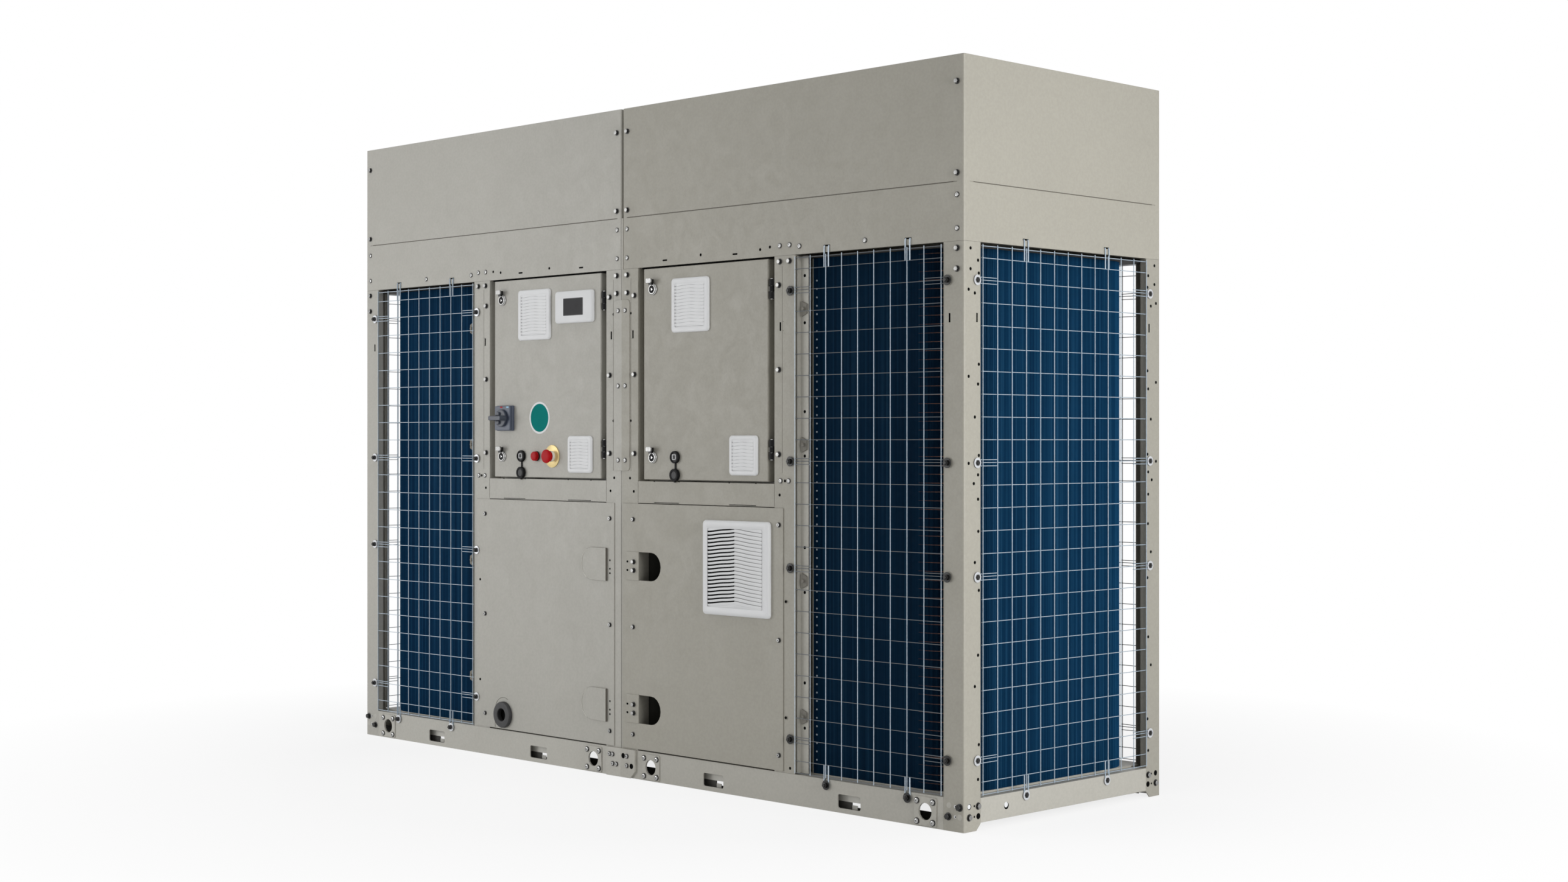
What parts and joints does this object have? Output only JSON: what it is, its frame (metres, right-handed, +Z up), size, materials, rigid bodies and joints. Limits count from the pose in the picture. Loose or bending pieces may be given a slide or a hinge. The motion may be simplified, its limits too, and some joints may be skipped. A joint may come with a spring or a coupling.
{
  "type": "air-cooled water chiller",
  "caption": "Floor-standing air-cooled water chiller with panelled modules, hinged doors, U-shaped coils behind wire guards and fans in the hoods.",
  "frame": {"origin": "bottom centre of the whole object's box, on the floor", "axes": "+Z up, -Y towards the doors, +X along the width to the right module seen from the doors"},
  "size_m": [2.5256, 0.8594, 1.878],
  "materials": {
    "panel_paint": "satin, fine orange peel",
    "door_paint": "satin, fine orange peel",
    "zinc_wire": "bright zinc",
    "coil_blue": "blue-coated fins",
    "white_plastic": "satin moulded",
    "dark_plastic": "satin moulded",
    "fan_plastic": "satin moulded",
    "black_rubber": "matt",
    "chrome": "polished",
    "red_plastic": "glossy",
    "yellow_plate": "satin gold yellow"
  },
  "bodies": {
    "cabinet": {"cable_grommet": "black_rubber", "centre_post_front": "panel_paint", "centre_post_rear": "panel_paint", "coil_left": "coil_blue", "coil_right": "coil_blue", "corner_post_front_left": "panel_paint", "corner_post_front_right": "panel_paint", "corner_post_rear_left": "panel_paint", "corner_post_rear_right": "panel_paint", "electrical_box_left": "panel_paint", "electrical_box_right": "panel_paint", "end_rail_left": "panel_paint", "end_rail_right": "panel_paint", "fan_deck_left": "panel_paint", "fan_deck_right": "panel_paint", "fan_guard_left": "zinc_wire", "fan_guard_right": "zinc_wire", "fan_left": "fan_plastic", "fan_right": "fan_plastic", "filter_panel": "white_plastic", "front_base_rail": "panel_paint", "guard_end_left": "zinc_wire", "guard_end_right": "zinc_wire", "guard_front_left": "zinc_wire", "guard_front_right": "zinc_wire", "guard_rear_left": "zinc_wire", "guard_rear_right": "zinc_wire", "hood_left": "panel_paint", "hood_right": "panel_paint", "lower_panel_left": "panel_paint", "lower_panel_right": "panel_paint", "middle_post_front_left": "panel_paint", "middle_post_front_right": "panel_paint", "middle_post_rear_left": "panel_paint", "middle_post_rear_right": "panel_paint", "partition_left": "panel_paint", "partition_right": "panel_paint", "rear_base_rail": "panel_paint", "rear_panel_left": "panel_paint", "rear_panel_right": "panel_paint"},
    "door_left_leaf": {"door_left": "door_paint", "filter_upper_left": "white_plastic", "filter_lower_left": "white_plastic", "display": "white_plastic", "switch_plate": "dark_plastic", "stop_collar": "yellow_plate", "lamp": "red_plastic", "service_socket_left": "black_rubber"},
    "door_right_leaf": {"door_right": "door_paint", "filter_upper_right": "white_plastic", "filter_lower_right": "white_plastic", "service_socket_right": "black_rubber"},
    "switch_knob": {"switch_handle": "dark_plastic"},
    "stop_head": {"stop_button": "red_plastic"},
    "latch_lower_left_body": {"latch_lower_left": "chrome"},
    "latch_upper_left_body": {"latch_upper_left": "chrome"},
    "latch_lower_right_body": {"latch_lower_right": "chrome"},
    "latch_upper_right_body": {"latch_upper_right": "chrome"}
  },
  "joints": [
    {"name": "door_left_hinge", "type": "hinge", "parent": "cabinet", "child": "door_left_leaf", "pos_m": [-0.0815, -0.37615, 1.132], "axis": [0, 0, 1], "range_deg": [0, 110]},
    {"name": "latch_lower_left_turn", "type": "hinge", "parent": "door_left_leaf", "child": "latch_lower_left_body", "pos_m": [-0.545, -0.38165, 0.898], "axis": [0, 1, 0], "range_deg": [0, 90]},
    {"name": "latch_upper_left_turn", "type": "hinge", "parent": "door_left_leaf", "child": "latch_upper_left_body", "pos_m": [-0.545, -0.38165, 1.364], "axis": [0, 1, 0], "range_deg": [0, 90]},
    {"name": "door_right_hinge", "type": "hinge", "parent": "cabinet", "child": "door_right_leaf", "pos_m": [0.5955, -0.37615, 1.132], "axis": [0, 0, 1], "range_deg": [0, 110]},
    {"name": "latch_lower_right_turn", "type": "hinge", "parent": "door_right_leaf", "child": "latch_lower_right_body", "pos_m": [0.132, -0.38165, 0.898], "axis": [0, 1, 0], "range_deg": [0, 90]},
    {"name": "latch_upper_right_turn", "type": "hinge", "parent": "door_right_leaf", "child": "latch_upper_right_body", "pos_m": [0.132, -0.38165, 1.364], "axis": [0, 1, 0], "range_deg": [0, 90]},
    {"name": "switch_turn", "type": "hinge", "parent": "door_left_leaf", "child": "switch_knob", "pos_m": [-0.5265, -0.38165, 1.012], "axis": [0, 1, 0], "range_deg": [0, 90]},
    {"name": "stop_push", "type": "slide", "parent": "door_left_leaf", "child": "stop_head", "axis": [0, 1, 0], "range_m": [0, 0.004], "stiffness_N_per_m": 500}
  ]
}
